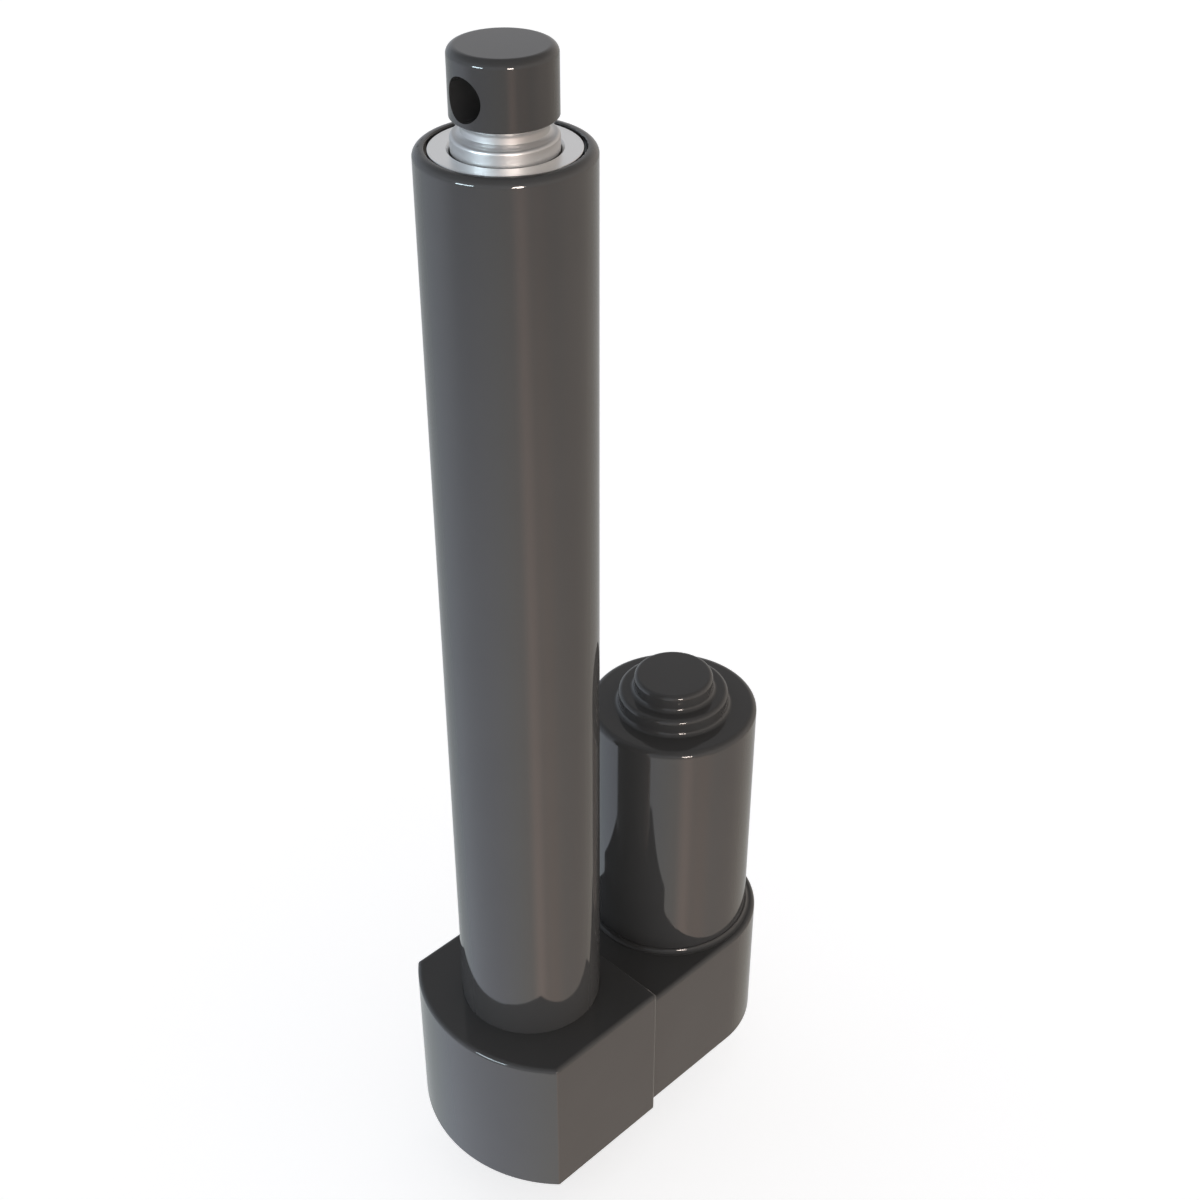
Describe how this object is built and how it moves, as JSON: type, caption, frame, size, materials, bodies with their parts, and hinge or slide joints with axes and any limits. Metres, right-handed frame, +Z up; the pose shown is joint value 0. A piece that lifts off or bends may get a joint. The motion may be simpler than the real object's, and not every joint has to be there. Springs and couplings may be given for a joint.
{
  "type": "linear actuator",
  "caption": "Electric linear actuator with a parallel motor, smooth cover tube, bright gland ring and a bored rod end, shown fully retracted",
  "frame": {"origin": "centre of the rear mounting bore", "axes": "+Z up the tube axis towards the rod end, +X from the tube axis to the motor axis, +Y to the left when looking along +X"},
  "size_m": [0.1483, 0.0754, 0.438],
  "materials": {
    "housing": "satin dark grey paint on die-cast aluminium",
    "tube": "smooth dark grey coat on a drawn aluminium tube",
    "rod_end": "dark head with a bare turned neck",
    "can": "glossy dark grey coat on drawn steel",
    "bright": "bare turned steel",
    "steel": "bright zinc-plated steel",
    "bronze": "sintered bronze",
    "brass": "pressed brass",
    "copper": "enamelled copper",
    "rubber": "black rubber",
    "plastic": "glass-filled black nylon",
    "gear_plastic": "natural acetal",
    "lamination": "stacked electrical steel",
    "magnet": "sintered ferrite",
    "carbon": "carbon"
  },
  "bodies": {
    "base": {"tube_housing": "housing", "motor_housing": "housing", "rear_cover": "housing", "rear_tang": "housing", "cover_screws": "steel", "block_screws": "steel", "cover_tube": "tube", "socket_o_ring": "rubber", "gland": "bright", "rod_wiper": "rubber", "guide_bush": "bronze", "gland_o_ring": "rubber", "bearing_outer_race": "steel", "bearing_circlip": "steel", "idler_pin": "steel", "motor_can": "can", "motor_gasket": "rubber", "motor_front_plate": "plastic", "motor_screws": "steel", "motor_bearing_lower": "bronze", "motor_bearing_upper": "bronze", "end_bell": "can", "bearing_cap": "can", "magnet_left": "magnet", "magnet_right": "magnet", "brush_card": "plastic", "brushes": "carbon", "brush_holders": "brass", "brush_springs": "steel", "cable_grommet": "rubber"},
    "rod": {"rod_end": "rod_end", "extension_tube": "bright", "drive_nut": "bronze", "nut_band": "plastic", "nut_pins": "steel"},
    "screw": {"lead_screw": "steel", "screw_guide": "plastic", "screw_gear": "gear_plastic", "gear_key": "steel", "gear_nut": "steel", "bearing_inner_race": "steel", "bearing_balls": "steel"},
    "idler": {"idler_gear": "gear_plastic", "idler_bush": "bronze"},
    "rotor": {"motor_shaft": "steel", "motor_pinion": "steel", "armature_core": "lamination", "armature_windings": "copper", "commutator": "copper"}
  },
  "joints": [
    {"name": "motor_spin", "type": "hinge", "parent": "base", "child": "rotor", "pos_m": [0.07375, 0, 0], "axis": [0, 0, -1], "range_deg": [0, 146449.7]},
    {"name": "idler_spin", "type": "hinge", "parent": "base", "child": "idler", "pos_m": [0.03975, 0, 0], "axis": [0, 0, -1], "range_deg": [-34616, 0]},
    {"name": "screw_spin", "type": "hinge", "parent": "base", "child": "screw", "pos_m": [0, 0, 0], "axis": [0, 0, -1], "range_deg": [0, 11250.5]},
    {"name": "rod_slide", "type": "slide", "parent": "base", "child": "rod", "axis": [0, 0, 1], "range_m": [0, 0.25001]}
  ],
  "couplings": [
    {"joint": "idler_spin", "follows": "motor_spin", "ratio": -0.23636},
    {"joint": "screw_spin", "follows": "motor_spin", "ratio": 0.076818},
    {"joint": "rod_slide", "follows": "motor_spin", "m_per_rad": 0.000097808}
  ]
}
